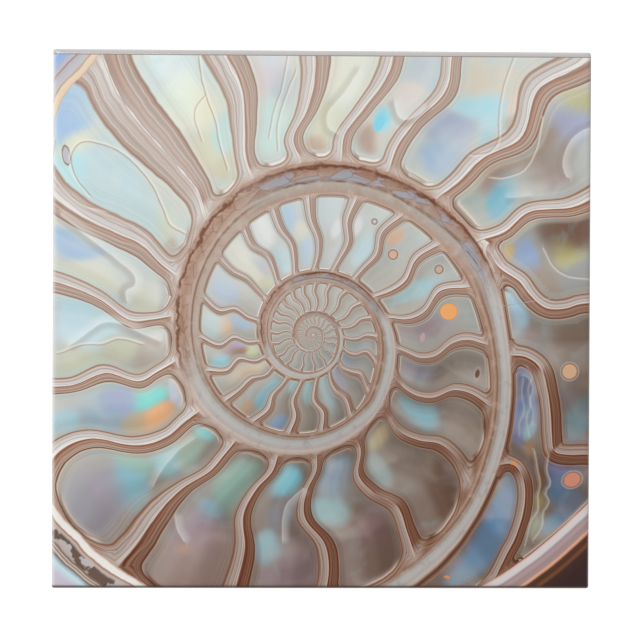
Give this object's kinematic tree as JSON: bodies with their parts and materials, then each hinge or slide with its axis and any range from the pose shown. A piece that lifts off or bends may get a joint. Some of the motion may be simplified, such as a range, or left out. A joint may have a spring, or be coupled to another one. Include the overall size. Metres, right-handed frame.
{
  "type": "printed ceramic tile",
  "caption": "Square glazed ceramic wall tile with rolled face edges, a glossy print of a cut spiral shell and a ribbed bare clay back.",
  "frame": {"origin": "middle of the back, on the plane that the back ribs and rim rest on", "axes": "+Z out of the printed face, +Y towards the top edge of the picture, +X to its right"},
  "size_m": [0.108, 0.108, 0.006],
  "materials": {
    "glazed_print": "glossy clear glaze over a many-coloured print"
  },
  "bodies": {
    "root": {"tile": "glazed_print"}
  },
  "joints": []
}
